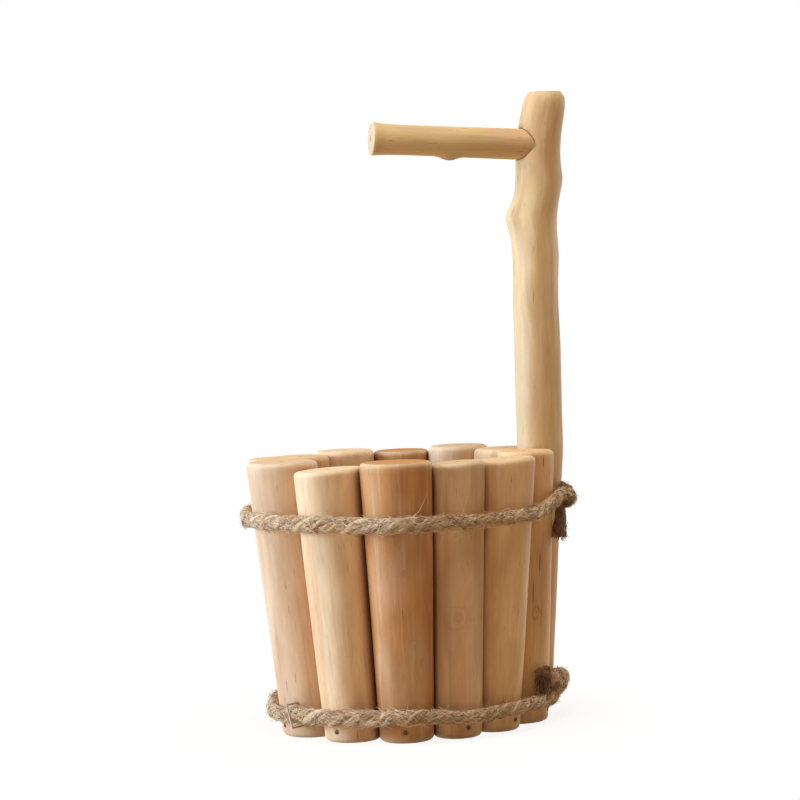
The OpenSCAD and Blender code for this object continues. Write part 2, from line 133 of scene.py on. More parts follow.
def tone(red, green, blue):
    """A colour read as 0 to 255 screen values, as linear light."""
    def linear(value):
        value /= 255
        return value / 12.92 if value <= 0.04045 else ((value + 0.055) / 1.055) ** 2.4
    return (linear(red), linear(green), linear(blue), 1)


CREAM = tone(242, 220, 186)
BLUSH = tone(222, 168, 128)
GREYED = tone(196, 164, 124)
SOOTY = tone(58, 34, 20)
# Bands, lines, fibre, clouds, flecks and mottle, drawn out along the log: the share of their scale that
# counts along it, then scale, detail, roughness and warp
WOOD_PATTERNS = [
    (0.16, 70, 3, 0.5, 0.3), (0.04, 340, 2, 0.5), (0.06, 2300, 2, 0.6),
    (0.5, 34, 2, 0.5), (0.12, 900, 1, 0.5), (0.3, 180, 3, 0.6),
]
# How dark the painted shade in the grooves between logs is
GROOVE_SHADE_DARK = 0.72
# Where the painted shade of the peg's seam ends and is full beyond its radius, and how far up the peg it
# starts
SEAM_SHADE_RING = (0.9 * MM, 0.2 * MM)
SEAM_SHADE_FROM = (4 * MM, 7 * MM)
RING_APART = 1.7 * MM
RING_WOBBLE = 3.2 * MM
PITH = (2.8 * MM, 0.5 * MM)
JUTE_TONES = [(0.31, tone(104, 67, 37)), (0.42, tone(206, 164, 119)), (0.54, tone(246, 213, 170)),
              (0.70, tone(255, 243, 220))]
WISP_TONES = [(0.0, tone(92, 57, 31)), (0.25, tone(190, 143, 95)), (0.55, tone(244, 211, 168)),
              (1.0, tone(255, 243, 220))]
METAL_SPOTS = (1400, 3, 0.65)


class Value:
    """One output of a shader node. Arithmetic on it adds Math nodes."""

    def __init__(self, bench, socket):
        self.bench = bench
        self.socket = socket

    def math(self, operation, *values):
        return self.bench.node("Math", {"operation": operation}, dict(enumerate(values)))

    def __add__(self, other):
        return self.math("ADD", self, other)

    __radd__ = __add__

    def __sub__(self, other):
        return self.math("SUBTRACT", self, other)

    def __rsub__(self, other):
        return self.math("SUBTRACT", other, self)

    def __mul__(self, other):
        return self.math("MULTIPLY", self, other)

    __rmul__ = __mul__

    def wave(self):
        """0 to 1 and back as the value grows."""
        return self.math("SINE", self) * 0.5 + 0.5


class NodeBench:
    """A node tree being built, and the one way in which nodes are added to it."""

    def __init__(self, tree):
        self.tree = tree

    def node(self, kind, settings=None, sockets=None, output=0):
        made = self.tree.nodes.new("ShaderNode" + kind)
        for key, value in (settings or {}).items():
            if key == "stops":
                self.set_stops(made.color_ramp, value)
            else:
                setattr(made, key, value)
        for key, value in (sockets or {}).items():
            self.feed(made.inputs[key], value)
        return Value(self, made.outputs[output])

    def feed(self, socket, value):
        if isinstance(value, Value):
            self.tree.links.new(value.socket, socket)
        else:
            socket.default_value = value

    def set_stops(self, ramp, stops):
        while len(ramp.elements) < len(stops):
            ramp.elements.new(1)
        for element, (place, colour) in zip(ramp.elements, stops):
            element.position = place
            element.color = colour

    def seen_directly(self):
        """1 where the camera, a reflection or a clear body looks, 0 where light bounces."""
        rays = self.node("LightPath").socket.node.outputs
        camera, mirrored, clear = [
            Value(self, rays["Is %s Ray" % kind]) for kind in ("Camera", "Glossy", "Transmission")]
        return self.node("Math", {"operation": "ADD", "use_clamp": True}, {0: camera + mirrored, 1: clear})

    def blend(self, factor, under, over):
        return self.node("Mix", {"data_type": "RGBA"}, {0: factor, 6: under, 7: over}, output=2)


class Finish(NodeBench):
    """A material being mixed."""

    def __init__(self, name):
        self.material = bpy.data.materials.new(name)
        self.material.use_nodes = True
        super().__init__(self.material.node_tree)
        self.shader = self.tree.nodes["Principled BSDF"]

    def attribute(self, name, output="Vector"):
        return self.node("Attribute", {"attribute_name": name}, output=output)

    def place(self):
        return self.node("TexCoord", output="Object")

    def stretch(self, vector, scale, shift=(0, 0, 0)):
        return self.node("Mapping", None, {"Vector": vector, "Scale": scale, "Location": shift})

    def vector(self, operation, *values, output=0):
        return self.node("VectorMath", {"operation": operation}, dict(enumerate(values)), output)

    def length(self, vector):
        return self.vector("LENGTH", vector, output="Value")

    def grain(self, vector, scale, detail=2, rough=0.5, warp=0):
        sockets = {"Vector": vector, "Scale": scale, "Detail": detail, "Roughness": rough, "Distortion": warp}
        return self.node("TexNoise", None, sockets)

    def span(self, value, low, high, to_low=0, to_high=1):
        """The value mapped smoothly from low..high to to_low..to_high, and held there."""
        settings = {"interpolation_type": "SMOOTHSTEP"}
        return self.node("MapRange", settings, {0: value, 1: low, 2: high, 3: to_low, 4: to_high})

    def layers(self, colour, *rows):
        """Tones laid over a colour: pattern, where it starts and is full, strength and tone."""
        for pattern, start, full, strength, over in rows:
            colour = self.blend(self.span(pattern, start, full) * strength, colour, over)
        return colour

    def marked(self, colour, name, strength, over):
        """A tone laid over a colour as far as one of the piece's own attributes says."""
        return self.blend(self.attribute(name, "Fac") * strength, colour, over)

    def shade(self, colour, factor):
        """The colour darkened or lightened by a factor that varies."""
        return self.node("VectorMath", {"operation": "SCALE"}, {0: colour, "Scale": factor})

    def bump(self, height, distance, strength=1):
        return self.node("Bump", None, {"Height": height, "Distance": distance, "Strength": strength})

    def dress(self, **sockets):
        for key, value in sockets.items():
            self.feed(self.shader.inputs[key.replace("_", " ")], value)
        return self.material


def wood(name, pale, deep, seed, knots=(), slits=(), streak=1.0, joint=None):
    """Debarked, sanded roundwood. Its grain runs along z of the piece's own attribute "log"."""
    f = Finish(name)
    log = f.attribute("log")
    shift = (seed * 0.37, seed * 0.53, seed * 0.71)
    broad, lines, fibre, cloud, fleck, mottle = [
        f.grain(f.stretch(log, (1, 1, drawn), shift), *noise) for drawn, *noise in WOOD_PATTERNS]
    colour = f.layers(
        f.blend(f.span(broad, 0.34, 0.68), pale, deep),
        (cloud, 0.50, 0.68, 0.50, BLUSH), (cloud, 0.46, 0.30, 0.35, GREYED),
        (lines, 0.54, 0.76, 0.20 * streak, tone(150, 98, 58)), (lines, 0.45, 0.28, 0.20, CREAM),
        (fleck, 0.71, 0.78, 0.40, tone(120, 74, 44)))
    for number, knot in enumerate(knots):
        colour = knot_rings(f, log, colour, seed + number, *knot)
    for check in slits:
        colour = slit(f, log, colour, *check)
    colour = f.marked(colour, "edge", 0.5, CREAM)
    # Painted shade in the grooves between neighbouring logs
    colour = f.marked(colour, "groove", GROOVE_SHADE_DARK, tone(100, 50, 20))
    colour = f.marked(colour, "stain", 0.85, SOOTY)
    # Painted shade round the seam of the handle's socket
    if joint:
        colour = seam_shade_round(f, colour, *joint)
    colour = f.shade(colour, 1 + (fibre - 0.5) * 0.18 + (mottle - 0.5) * 0.32)
    relief = f.bump(lines * 0.5 + fibre * 0.3, 0.2 * MM, 0.45)
    return f.dress(Base_Color=colour, Roughness=f.span(broad, 0.3, 0.7, 0.56, 0.66), Normal=relief)


def seam_shade_round(f, colour, start, way, radius):
    """Painted shade: the dark line of the seam where a round peg enters the wood."""
    off = f.vector("SUBTRACT", f.place(), start)
    far = f.length(f.vector("CROSS_PRODUCT", off, way))
    past = f.vector("DOT_PRODUCT", off, way, output="Value")
    ring = f.span(far, *[radius + past_it for past_it in SEAM_SHADE_RING]) * f.span(past, *SEAM_SHADE_FROM)
    return f.blend(ring * 0.75, colour, tone(74, 44, 26))


def knot_rings(f, log, colour, seed, centre, reach, dark):
    """A grown-over branch: faint rings that bend round its middle."""
    off = f.stretch(f.vector("SUBTRACT", log, centre), (1, 1, 0.72))
    wobble = f.grain(f.stretch(log, (1, 1, 1), (seed, 0, 0)), 130)
    far = f.length(off) + (wobble - 0.5) * (0.9 * reach)
    rings = (far * (4.5 / reach * math.pi)).wave()
    inside = f.span(far, reach, reach * 0.55)
    colour = f.blend(inside * rings * dark, colour, tone(122, 76, 42))
    return f.layers(colour, (far, reach * 0.34, reach * 0.1, dark, tone(104, 62, 34)))


def slit(f, log, colour, centre, width, length):
    """A thin dark check that runs with the grain."""
    wander = f.grain(f.stretch(log, (1, 1, 0.3)), 220, 1)
    off = f.stretch(f.vector("SUBTRACT", log, centre), (1 / width, 1 / width, 1 / length))
    far = f.length(off) + (wander - 0.5) * 1.2
    return f.layers(colour, (far, 1.0, 0.45, 0.8, tone(84, 46, 24)))


def cut_end(name, pale, deep, seed):
    """A sawn and sanded end: growth rings round the pith, with fine rays."""
    f = Finish(name)
    flat = f.stretch(f.attribute("log"), (1, 1, 0))
    wobble = f.grain(f.stretch(flat, (1, 1, 1), (seed, seed * 0.3, 0)), 90)
    far = f.length(flat) + (wobble - 0.5) * RING_WOBBLE
    rings = (far * (2 * math.pi / RING_APART)).wave()
    grit = f.grain(flat, 1500, 3, 0.7)
    colour = f.layers(
        pale, (rings, 0.35, 1.0, 0.42, deep), (far, *PITH, 0.5, tone(120, 76, 44)),
        (grit, 0.5, 0.75, 0.35, tone(146, 98, 60)))
    return f.dress(Base_Color=colour, Roughness=0.78, Normal=f.bump(grit + rings * 0.4, 0.2 * MM, 0.6))


def jute(name):
    """Coarse laid fibre. Its attribute "lay" runs round and along each strand."""
    f = Finish(name)
    lay = f.attribute("lay")
    fibre = f.grain(f.stretch(lay, (1, 0.1, 1)), 1900, 3, 0.7, 0.3)
    tuft = f.grain(f.stretch(lay, (1, 0.25, 1)), 520, 2, 0.6)
    colour = f.node("ValToRGB", {"stops": JUTE_TONES}, {0: fibre * 0.60 + tuft * 0.42})
    colour = f.layers(colour, (f.grain(f.place(), 90), 0.45, 0.7, 0.30, tone(150, 118, 88)))
    # Painted shade in the valleys between the strands
    colour = f.marked(colour, "valley", 0.6, tone(96, 66, 44))
    colour = f.marked(colour, "singe", 1, f.blend(fibre, tone(72, 40, 22), tone(176, 124, 82)))
    return f.dress(Base_Color=colour, Roughness=0.9, Normal=f.bump(fibre + tuft * 0.9, 0.8 * MM))


def fibre_wisp(name):
    """Loose single fibres, each with its own shade from dark to pale."""
    f = Finish(name)
    colour = f.node("ValToRGB", {"stops": WISP_TONES}, {0: f.attribute("shade", "Fac")})
    return f.dress(Base_Color=f.marked(colour, "singe", 0.8, tone(96, 56, 32)), Roughness=0.8)


def steel(name, bright, rust, clean):
    """Drawn wire. Rust shows in the spots past a clean share."""
    f = Finish(name)
    spots = f.grain(f.place(), *METAL_SPOTS)
    colour = f.blend(f.span(spots, clean, clean + 0.2), bright, rust)
    return f.dress(
        Base_Color=colour, Roughness=f.span(spots, 0.3, 0.7, 0.28, 0.6),
        Metallic=f.span(spots, clean + 0.2, clean, 0.35, 1), Normal=f.bump(spots, 0.08 * MM, 0.5))


def rusted(name):
    f = Finish(name)
    spots = f.grain(f.place(), *METAL_SPOTS)
    colour = f.blend(f.span(spots, 0.35, 0.65), tone(66, 42, 28), tone(150, 104, 68))
    return f.dress(Base_Color=colour, Roughness=0.85, Metallic=0.2)


def planed_board(name):
    """Flat-sawn softwood, planed and a little dusty."""
    f = Finish(name)
    sockets = {"Vector": f.stretch(f.place(), (1, 0.06, 1), (13 * MM, 0, 0)), "Scale": 32, "Distortion": 5,
               "Detail": 2, "Detail Scale": 1.4}
    bands = f.node("TexWave", {"bands_direction": "X"}, sockets)
    fibre = f.grain(f.stretch(f.place(), (1, 0.03, 1)), 1500, 3, 0.6)
    dust = f.grain(f.place(), 60, 3, 0.6)
    colour = f.layers(
        f.blend(bands * 0.55, tone(226, 196, 150), tone(188, 140, 90)),
        (fibre, 0.5, 0.75, 0.4, tone(150, 104, 64)), (dust, 0.5, 0.75, 0.3, tone(120, 92, 66)))
    return f.dress(Base_Color=colour, Roughness=0.72, Normal=f.bump(fibre, 0.2 * MM, 0.6))


def pale_floor():
    """White to the camera, with the object's soft shadow kept close to it."""
    f = Finish("pale_floor")
    f.tree.nodes.remove(f.shader)
    white, lift = [f.node("Emission", None, {"Strength": strength}) for strength in (1.0, FLOOR_LIFT)]
    paper = f.node("BsdfDiffuse", None, {"Color": FLOOR_PAPER})
    lifted = f.node("AddShader", None, {0: paper, 1: lift})
    faded = f.span(f.length(f.place()), SHADOW_NEAR, SHADOW_FAR, SHADOW_FADED, 1)
    shadowed = f.node("MixShader", None, {0: faded, 1: lifted, 2: white})
    surface = f.node("MixShader", None, {0: f.seen_directly(), 1: paper, 2: shadowed})
    f.feed(f.tree.nodes["Material Output"].inputs["Surface"], surface)
    return f.material


# Working on a mesh by hand

PATCH_SHARE = 1.6
# Faces with more sides than this are the ends of a log
MOST_SIDES = 8
SAME_PLACE = 1e-7
# Dents start this far from a cut end, and are full after the fade
SPARED = 1.5 * MM
SPARED_FADE = 6 * MM


def only(piece):
    bpy.ops.object.select_all(action="DESELECT")
    piece.select_set(True)
    bpy.context.view_layer.objects.active = piece


@contextmanager
def editing(piece):
    """Edit mode on one piece, with nothing selected at the start."""
    only(piece)
    bpy.ops.object.mode_set(mode="EDIT")
    bpy.ops.mesh.select_all(action="DESELECT")
    yield
    bpy.ops.object.mode_set(mode="OBJECT")


def pick(piece, kind, rule):
    """Selects only the vertices ("verts"), edges or faces for which the rule holds."""
    bpy.ops.mesh.select_mode(type={"verts": "VERT", "edges": "EDGE", "faces": "FACE"}[kind])
    bpy.ops.mesh.select_all(action="DESELECT")
    mesh = bmesh.from_edit_mesh(piece.data)
    for item in getattr(mesh, kind):
        if rule(item):
            item.select_set(True)
    mesh.select_flush_mode()
    bmesh.update_edit_mesh(piece.data)


def set_in_place(piece):
    """Moves a piece's place and turn into its mesh."""
    only(piece)
    bpy.ops.object.transform_apply(location=True, rotation=True, scale=True)


def apply_modifier(piece, kind, **settings):
    only(piece)
    modifier = piece.modifiers.new(kind.lower(), kind)
    for key, value in settings.items():
        setattr(modifier, key, value)
    bpy.ops.object.modifier_apply(modifier=modifier.name)


def add_cylinder(name, sides, radius, length, place, turn=(0, 0, 0)):
    """A closed cylinder, the start of a log or a drill."""
    bpy.ops.object.select_all(action="DESELECT")
    bpy.ops.mesh.primitive_cylinder_add(
        vertices=sides, radius=radius, depth=length, location=place, rotation=turn)
    cylinder = bpy.context.object
    cylinder.name = cylinder.data.name = name
    set_in_place(cylinder)
    return cylinder


def rise(edge):
    return abs(edge.verts[0].co.z - edge.verts[1].co.z)


def cut_finer(piece, length, cuts, insets):
    """In edit mode, cuts a log's long edges into many, and rings its two ends."""
    pick(piece, "edges", lambda edge: rise(edge) > length / 2)
    bpy.ops.mesh.subdivide(number_cuts=cuts)
    pick(piece, "faces", lambda face: len(face.verts) > MOST_SIDES)
    for thickness in insets:
        bpy.ops.mesh.inset(thickness=thickness)


def press(piece, point, move, reach, cuts=0):
    """Pushes or pulls the surface round a point, on a patch that is first cut finer."""
    point = Vector(point)
    with editing(piece):
        if cuts:
            pick(piece, "faces", lambda face: (face.calc_center_median() - point).length < reach * PATCH_SHARE)
            bpy.ops.mesh.subdivide(number_cuts=cuts)
        mesh = bmesh.from_edit_mesh(piece.data)
        nearest = min(mesh.verts, key=lambda vert: (vert.co - point).length_squared).co.copy()
        pick(piece, "verts", lambda vert: (vert.co - nearest).length < SAME_PLACE)
        bpy.ops.transform.translate(
            value=move, use_proportional_edit=True, proportional_edit_falloff="SMOOTH",
            proportional_size=reach, use_proportional_connected=True)


def weather(piece, along, length, *coats):
    """Shallow dents and swells, drawn out along the wood, that fade before both cut ends."""
    group = piece.vertex_groups.new(name="sides")
    for vertex, far in zip(piece.data.vertices, along):
        weight = (min(far, length - far) - SPARED) / SPARED_FADE
        group.add([vertex.index], min(max(weight, 0), 1), "REPLACE")
    for seed, depth, size, stretch in coats:
        texture = bpy.data.textures.new("dents", "CLOUDS")
        texture.noise_scale = 1
        texture.noise_depth = 1
        guide = add_object("guide", None)
        guide.location = (seed * 0.173, seed * 0.119, seed * 0.231)
        guide.rotation_euler = Vector((0, 0, 1)).to_track_quat("Z", "Y").to_euler()
        guide.scale = (size, size, size * stretch)
        bpy.context.view_layer.update()
        apply_modifier(
            piece, "DISPLACE", texture=texture, texture_coords="OBJECT", texture_coords_object=guide,
            strength=depth, mid_level=0.5, vertex_group="sides")
        bpy.data.objects.remove(guide)
        bpy.data.textures.remove(texture)


def write(piece, **levels):
    """A piece's own attributes, with a number or a vector for each vertex."""
    for name, values in levels.items():
        values = np.asarray(values, np.float32)
        kind, key = ("FLOAT_VECTOR", "vector") if values.ndim == 2 else ("FLOAT", "value")
        piece.data.attributes.new(name, kind, "POINT").data.foreach_set(key, values.ravel())


def corners(piece):
    flat = np.empty(len(piece.data.vertices) * 3, np.float32)
    piece.data.vertices.foreach_get("co", flat)
    return flat.reshape(-1, 3).astype(float)


def move_corners(piece, points):
    piece.data.vertices.foreach_set("co", np.asarray(points, np.float32).ravel())
    piece.data.update()


def stand_for(piece, slot, *nodes):
    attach(piece, "root")
    if nodes:
        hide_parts(*nodes)


# The ring of uprights, read off the frame

RING = ["stave_%02d" % k for k in range(1, 7)] + ["post"] + ["stave_%02d" % k for k in range(7, 13)]
POST_INDEX = RING.index("post")
LOOK_LOW = 32 * MM
LOOK_HIGH = 98 * MM
# How far the cut of each upright's top rises to the right, in degrees
RIM_TILT = [0, 3, 0, 2.5, 3] + [0] * 8
END_CHAMFER = 1.2 * MM


def outline_at(node, height):
    """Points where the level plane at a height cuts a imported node's edges."""
    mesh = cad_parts[node].data
    points = np.empty(len(mesh.vertices) * 3)
    mesh.vertices.foreach_get("co", points)
    ends = np.empty(len(mesh.edges) * 2, int)
    mesh.edges.foreach_get("vertices", ends)
    a, b = points.reshape(-1, 3)[ends.reshape(-1, 2)].transpose(1, 0, 2)
    crossing = (a[:, 2] - height) * (b[:, 2] - height) < 0
    a, b = a[crossing], b[crossing]
    share = (height - a[:, 2]) / (b[:, 2] - a[:, 2])
    return (a + (b - a) * share[:, None])[:, :2]


class Upright:
    """Middle and radius of one upright at any height within the bucket."""

    def __init__(self, node, tilt):
        self.node = node
        self.slope = math.tan(math.radians(tilt))
        self.low = self.measure(LOOK_LOW)
        self.high = self.measure(LOOK_HIGH)
        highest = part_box(node)[1].z
        self.top = highest - self.slope * (self.radius(highest) - END_CHAMFER)

    def measure(self, height):
        points = outline_at(self.node, height)
        low, high = points.min(0), points.max(0)
        return np.array([*((low + high) / 2), (high - low).mean() / 2])

    def at(self, height):
        return self.low + (self.high - self.low) * (height - LOOK_LOW) / (LOOK_HIGH - LOOK_LOW)

    def middle(self, height):
        return self.at(height)[:2]

    def radius(self, height):
        return self.at(height)[2]


UPRIGHTS = [Upright(node, tilt) for node, tilt in zip(RING, RIM_TILT)]

# Nails and staples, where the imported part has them

NAIL_Z = 6 * MM
UPPER_ROPE_Z = 116.5 * MM
LOWER_ROPE_Z = 14.5 * MM
# Place of each staple, and how far past the rope's bend it sits
STAPLED = {UPPER_ROPE_Z: ((8, 0), (11, 0)), LOWER_ROPE_Z: ((0, 8 * MM), (8, 0), (11, 0))}
STAPLE_SLANT = math.radians(18)
STAPLE_SPAN = 12.6 * MM


def bearing(step):
    return math.atan2(step[1], step[0])


def heading(angle):
    return np.array([math.cos(angle), math.sin(angle)])


def nail_point(upright):
    """Where a nail's head lies in the upright's outer face, and the way out of it."""
    middle = upright.middle(NAIL_Z)
    out = middle / np.linalg.norm(middle)
    return np.array([*(middle + out * upright.radius(NAIL_Z)), NAIL_Z]), np.array([*out, 0])


# Ropes: the route repeats the part's own, on the same uprights

ROPE_T = 6 * MM
ROPE_W = 8.6 * MM
ROPE_CLEARANCE = 0.3 * MM
KNOT_CLEARANCE = 0.8 * MM
KNOT_SHARE = 0.88
KNOT_LIFT = 1.4 * MM
STRAND_APART = KNOT_SHARE * ROPE_T + KNOT_CLEARANCE
KNOT_FROM = POST_INDEX - 1
# Free tails in rope thicknesses: along the knot, outwards, upwards or downwards, and their size
TAIL_UP = [(1, -0.24, 0.26, 1), (1.27, -0.08, 0.58, 1.15), (1.46, 0.14, 1.05, 1.4)]
TAIL_HANGING = [
    (1, -0.24, 0.26, 1), (1.27, -0.12, 0.58, 1), (1.5, 0, 0.98, 1), (1.64, 0, 1.5, 1.1),
    (1.68, -0.03, 2.1, 1.2), (1.68, -0.08, 2.75, 1.35), (1.66, -0.14, 3.4, 1.45),
]
TAIL_STANDING = [
    (1, -0.24, 0.26, 1), (1.67, 0, 0.7, 1), (2.66, 0.14, 1, 1), (3.39, 0.03, 1, 1.05),
    (4.04, -0.23, 1.04, 1.1), (4.55, -0.52, 1.21, 1.2), (4.88, -0.7, 1.58, 1.35), (5.03, -0.76, 1.95, 1.45),
]
TAIL_TUCKED = [(0.95, -0.3, 0.3, 1), (1.1, -0.3, 0.6, 1), (1.2, -0.25, 0.95, 1.05)]
KNOT_STEPS = [0, 0.08, 0.15, 0.21, 0.27, 0.33, 0.39, 0.45, 0.51, 0.57, 0.63, 0.68]
ARC_STEPS = [0, 0.25, 0.5, 0.75, 1]
# By place in the ring: the share of its height that a pulled rope keeps, and how far it sags in millimetres
BODY = [0.88, 0.92, 0.88, 0.76, 0.74, 0.78] + [0.92] * 6 + [0.9]
UPPER_SAG = [0, 0.2, 1.1, 1.8, 1.2] + [0] * 8
LOWER_SAG = [1.4, 0.6, 0, 2.4, 1.5] + [0] * 7 + [0.6]


@dataclass
class Route:
    """The middle line of one rope round the uprights, with its half thickness and half height."""
    z: float
    side: int
    rise: float
    before: tuple
    after: tuple
    front_tail: list
    back_tail: list
    sag: list

    def seat(self, k):
        return UPRIGHTS[k].radius(self.z) + ROPE_CLEARANCE + ROPE_T / 2

    def run_angle(self, a, b):
        step = UPRIGHTS[b].middle(self.z) - UPRIGHTS[a].middle(self.z)
        swing = math.asin((self.seat(a) - self.seat(b)) / np.linalg.norm(step))
        return bearing(step) - math.pi / 2 + swing

    def bend_angle(self, k, share):
        before, after = (k - 1) % len(RING), (k + 1) % len(RING)
        start, end = self.run_angle(before, k), self.run_angle(k, after)
        swing = (end - start + 3 * math.pi) % (2 * math.pi) - math.pi
        return start + swing * share

    def bend_point(self, k, share):
        return UPRIGHTS[k].middle(self.z) + self.seat(k) * heading(self.bend_angle(k, share))

    def knot_ends(self):
        return self.bend_point(KNOT_FROM, 1), self.bend_point(POST_INDEX, 0)

    def knot_point(self, along, outward, upward):
        start, end = self.knot_ends()
        far = np.linalg.norm(end - start)
        way = (end - start) / far
        flat = (start + end) / 2 + way * along + np.array([way[1], -way[0]]) * outward
        rise = self.rise * math.cos(math.pi / 2 * min(1, 2 * abs(along) / far))
        return np.array([*flat, self.z + STRAND_APART / 2 + self.side * upward + rise])

    def strand_point(self, share, strand):
        turn = 2 * math.pi * share * share * (3 - 2 * share)
        start, end = self.knot_ends()
        half = np.linalg.norm(end - start) / 2
        r = strand * STRAND_APART / 2
        outward = r * math.sin(turn) + KNOT_LIFT * math.sin(math.pi * share)
        return self.knot_point((2 * share - 1) * half, outward, r * math.cos(turn))

    def flat(self, k, share, lift, width):
        """A station on an upright: how far it is lifted, and how flat it lies, 0 round to 1 flat."""
        half_t = ROPE_T * (KNOT_SHARE + (1 - KNOT_SHARE) * width) / 2
        half_w = (KNOT_SHARE * ROPE_T * (1 - width) + ROPE_W * width) / 2
        return np.array([*self.bend_point(k, share), self.z + lift, half_t, half_w])

    def wrap(self, k, share):
        """A station on an upright. The rope is pulled thinner towards the right of the front."""
        station = self.flat(k, share, -self.sag[k] * MM, 1)
        station[4] *= BODY[k]
        return station

    def round(self, point, size=1):
        return np.array([*point, size * KNOT_SHARE * ROPE_T / 2, size * KNOT_SHARE * ROPE_T / 2])

    def tail(self, places, side):
        return [self.round(self.knot_point(side * a * ROPE_T, n * ROPE_T, side * b * ROPE_T), size)
                for a, n, b, size in places]

    def stations(self):
        """From the end of the front tail, round the post and the staves, to the back tail."""
        way = self.tail(self.front_tail, -1)[::-1]
        way += [self.round(self.strand_point(1 - s, -1)) for s in KNOT_STEPS[::-1]]
        way += [self.flat(POST_INDEX, 0.5, self.after[0] * STRAND_APART, 0.5)]
        way += [self.flat(POST_INDEX, 1, self.after[1] * STRAND_APART, 1)]
        for k in range(POST_INDEX + 1, len(RING) + KNOT_FROM):
            way += [self.wrap(k % len(RING), share) for share in ARC_STEPS]
        way += [self.flat(KNOT_FROM, 0, self.before[0] * STRAND_APART, 0.6)]
        way += [self.flat(KNOT_FROM, 0.5, self.before[1] * STRAND_APART, 0.3)]
        way += [self.round(self.strand_point(s, 1)) for s in KNOT_STEPS]
        return np.array(way + self.tail(self.back_tail, 1))


ROUTES = {
    UPPER_ROPE_Z: Route(UPPER_ROPE_Z, 1, 0, (0.5, 0.75), (0, 0), TAIL_HANGING, TAIL_UP, UPPER_SAG),
    LOWER_ROPE_Z: Route(
        LOWER_ROPE_Z, -1, 3 * MM, (-0.25, -0.25), (0.75, 0.5), TAIL_STANDING, TAIL_TUCKED, LOWER_SAG),
}

SAMPLE = 0.7 * MM
EASE = 5


def resampled(stations):
    """Stations at an even spacing, eased over a few neighbours, with the ends kept."""
    steps = np.linalg.norm(np.diff(stations[:, :3], axis=0), axis=1)
    far = np.concatenate([[0], np.cumsum(steps)])
    even = np.linspace(0, far[-1], int(far[-1] / SAMPLE))
    line = np.stack([np.interp(even, far, column) for column in stations.T], axis=1)
    for _ in range(EASE):
        line[1:-1] = (line[:-2] + 2 * line[1:-1] + line[2:]) / 4
    return line


def frames_along(line):
    """Outward side and upward side of the rope at each sample."""
    way = np.gradient(line[:, :3], axis=0)
    way /= np.linalg.norm(way, axis=1)[:, None]
    out = line[:, :3] * [1, 1, 0]
    out -= way * (out * way).sum(1)[:, None]
    out /= np.linalg.norm(out, axis=1)[:, None]
    return out, np.cross(out, way)


STRANDS = 3
STRAND_SIDES = 18
LAY_LENGTH = 29 * MM
STRAND_SEAT = 0.50
STRAND_SIZE = 0.53
# Slack in the laying: its spread, and the samples that it reaches over
ROPE_DRIFT = (0.35, 61)
TURN_SLACK = (0.16, 31)
SEAT_SLACK = (0.09, 31)
SIZE_SLACK = (0.07, 25)
FRAY_LENGTH = 7 * MM
FRAY_OPEN = 0.25
YARNS = 3
YARN_DEPTH = 0.08
YARN_TURN = 12 * MM
YARN_HAIR = 0.02
# The jute's pattern: its radius round a strand, and how far apart it is read for each strand
LAY_RADIUS = 1.6 * MM
LAY_APART = 0.02
# Painted shade in the valleys between strands starts this near another strand, in its own radii, and is full
# this much nearer
VALLEY_SHADE_FROM = 1.55
VALLEY_SHADE_FULL = 0.5
SINGE_FADE = 3 * MM


def slack_along(rng, count, spread, reach):
    """Smooth random numbers along the rope."""
    window = np.hanning(reach)
    loose = np.convolve(rng.normal(0, 1, count + reach - 1), window / np.sqrt((window ** 2).sum()), "valid")
    return spread * loose[:count]


def strand_middles(line, seed):
    """Middle line and size of each strand, which wind loosely round the rope's own middle line."""
    out, up = frames_along(line)
    count = len(line)
    far = np.arange(count) * SAMPLE
    rng = np.random.default_rng(seed)
    drift = slack_along(rng, count, *ROPE_DRIFT)
    near_end = np.clip(1 - np.minimum(far, far[::-1]) / FRAY_LENGTH, 0, 1)
    strands = []
    for number in range(STRANDS):
        turn = 2 * math.pi * (far / LAY_LENGTH + number / STRANDS) + drift
        turn = turn + slack_along(rng, count, *TURN_SLACK)
        seat = STRAND_SEAT * (1 + slack_along(rng, count, *SEAT_SLACK) + FRAY_OPEN * near_end)
        size = STRAND_SIZE * (1 + slack_along(rng, count, *SIZE_SLACK))
        middle = (line[:, :3] + out * (line[:, 3] * seat * np.cos(turn))[:, None]
                  + up * (line[:, 4] * seat * np.sin(turn))[:, None])
        strands.append((middle, size))
    return strands


def tube_faces(count, sides):
    """Faces from each ring of points to the next, and one over either end."""
    side = np.arange(sides)
    low = np.arange(count - 1)[:, None] * sides + side
    near = low - side + (side + 1) % sides
    quads = np.stack([low, near, near + sides, low + sides], axis=-1).reshape(-1, 4)
    return [*quads, side[::-1], side + (count - 1) * sides]


